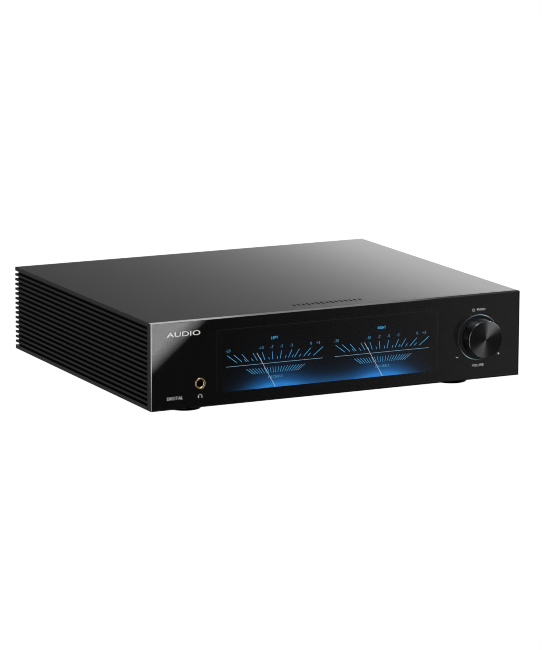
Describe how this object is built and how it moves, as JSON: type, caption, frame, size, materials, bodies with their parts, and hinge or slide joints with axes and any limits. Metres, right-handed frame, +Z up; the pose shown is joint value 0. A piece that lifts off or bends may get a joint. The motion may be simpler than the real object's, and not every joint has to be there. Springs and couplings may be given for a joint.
{
  "type": "desktop dac",
  "caption": "Full-width hi-fi converter and headphone amplifier with a glass front, meter display, push-and-turn knob, ribbed sides and round feet.",
  "frame": {"origin": "centre of the footprint, on the surface the feet stand on", "axes": "+X to the right seen from the front, -Y out of the front, +Z up"},
  "size_m": [0.43, 0.3866, 0.101],
  "materials": {
    "cover_black": "fine bead-blasted black anodising",
    "heatsink_black": "satin black anodised extrusion",
    "front_frame": "black anodised with a bright-cut chamfer",
    "front_glass": "polished clear glass over black print",
    "black_print": "black ceramic ink on the glass's back",
    "legend_ink": "pale grey screen print",
    "screen": "dark display",
    "meter_light": "lit blue meter graphics",
    "ring_light": "lit diffuser",
    "knob_black": "turned and black anodised, spun face, polished rim",
    "gold": "bright gold plating",
    "nickel": "satin nickel plating",
    "steel": "zinc plated",
    "black_plastic": "fine moulded texture",
    "foot_black": "turned and black anodised",
    "rubber": "matt black",
    "rear_black": "fine textured black powder coat",
    "circuit_board": "green solder mask",
    "winding": "taped copper winding",
    "white_plastic": "moulded",
    "red_plastic": "moulded",
    "fuse_glass": "clear glass tube"
  },
  "bodies": {
    "case": {"analogue_transformer": "winding", "analogue_transformer_clamp": "steel", "balanced_digital_input": "nickel", "bottom_plate": "cover_black", "coaxial_input": "gold", "control_board": "circuit_board", "digital_transformer": "winding", "digital_transformer_clamp": "steel", "display_bracket": "steel", "display_module": "screen", "divider_wall": "steel", "encoder_body": "steel", "encoder_nut": "steel", "front_glass": "front_glass", "front_left_foot": "foot_black", "front_left_foot_pad": "rubber", "front_left_foot_screw": "steel", "front_panel": "front_frame", "front_right_foot": "foot_black", "front_right_foot_pad": "rubber", "front_right_foot_screw": "steel", "headphone_bushing": "gold", "headphone_jack": "black_plastic", "knob_light_ring": "ring_light", "left_balanced_output": "nickel", "left_heatsink": "heatsink_black", "left_rca_output": "gold", "left_reservoir_capacitor": "black_plastic", "main_board": "circuit_board", "mains_inlet": "black_plastic", "optical_input": "black_plastic", "output_board": "circuit_board", "power_board": "circuit_board", "push_switch": "black_plastic", "rear_left_foot": "foot_black", "rear_left_foot_pad": "rubber", "rear_left_foot_screw": "steel", "rear_panel": "rear_black", "rear_right_foot": "foot_black", "rear_right_foot_pad": "rubber", "rear_right_foot_screw": "steel", "right_balanced_output": "nickel", "right_heatsink": "heatsink_black", "right_rca_output": "gold", "right_reservoir_capacitor": "black_plastic", "rocker_frame": "black_plastic", "slim_digital_input": "nickel", "top_cover": "cover_black", "trigger_jack": "black_plastic", "usb_input": "nickel"},
    "rotor": {"encoder_rotor": "black_plastic"},
    "knob": {"volume_knob": "knob_black", "knob_grub_screw": "steel", "encoder_shaft": "steel"},
    "plunger": {"switch_plunger": "black_plastic"},
    "rocker": {"power_rocker": "black_plastic"},
    "drawer": {"fuse_drawer": "black_plastic", "mains_fuse": "fuse_glass"},
    "latch": {"input_latch": "nickel"},
    "shutter": {"optical_shutter": "black_plastic"}
  },
  "joints": [
    {"name": "knob_turn", "type": "hinge", "parent": "case", "child": "rotor", "pos_m": [0.165, -0.17675, 0.0553], "axis": [0, 1, 0], "continuous": true},
    {"name": "knob_push", "type": "slide", "parent": "rotor", "child": "knob", "axis": [0, 1, 0], "range_m": [0, 0.0008], "stiffness_N_per_m": 2500, "springref_m": -0.0006},
    {"name": "switch_push", "type": "slide", "parent": "case", "child": "plunger", "axis": [0, 1, 0], "range_m": [0, 0.0008]},
    {"name": "power_rock", "type": "hinge", "parent": "case", "child": "rocker", "pos_m": [-0.17, 0.18275, 0.078], "axis": [0, 0, -1], "range_deg": [0, 20]},
    {"name": "drawer_slide", "type": "slide", "parent": "case", "child": "drawer", "axis": [0, 1, 0], "range_m": [0, 0.02]},
    {"name": "latch_press", "type": "hinge", "parent": "case", "child": "latch", "pos_m": [0.022, 0.18055, 0.0708], "axis": [-1, 0, 0], "range_deg": [0, 12], "stiffness_Nm_per_rad": 0.02, "springref_deg": -2.86},
    {"name": "shutter_swing", "type": "hinge", "parent": "case", "child": "shutter", "pos_m": [-0.04, 0.18265, 0.0617], "axis": [-1, 0, 0], "range_deg": [0, 85], "stiffness_Nm_per_rad": 0.0004, "springref_deg": -11.46}
  ],
  "couplings": [
    {"joint": "switch_push", "follows": "knob_push", "ratio": 1}
  ]
}
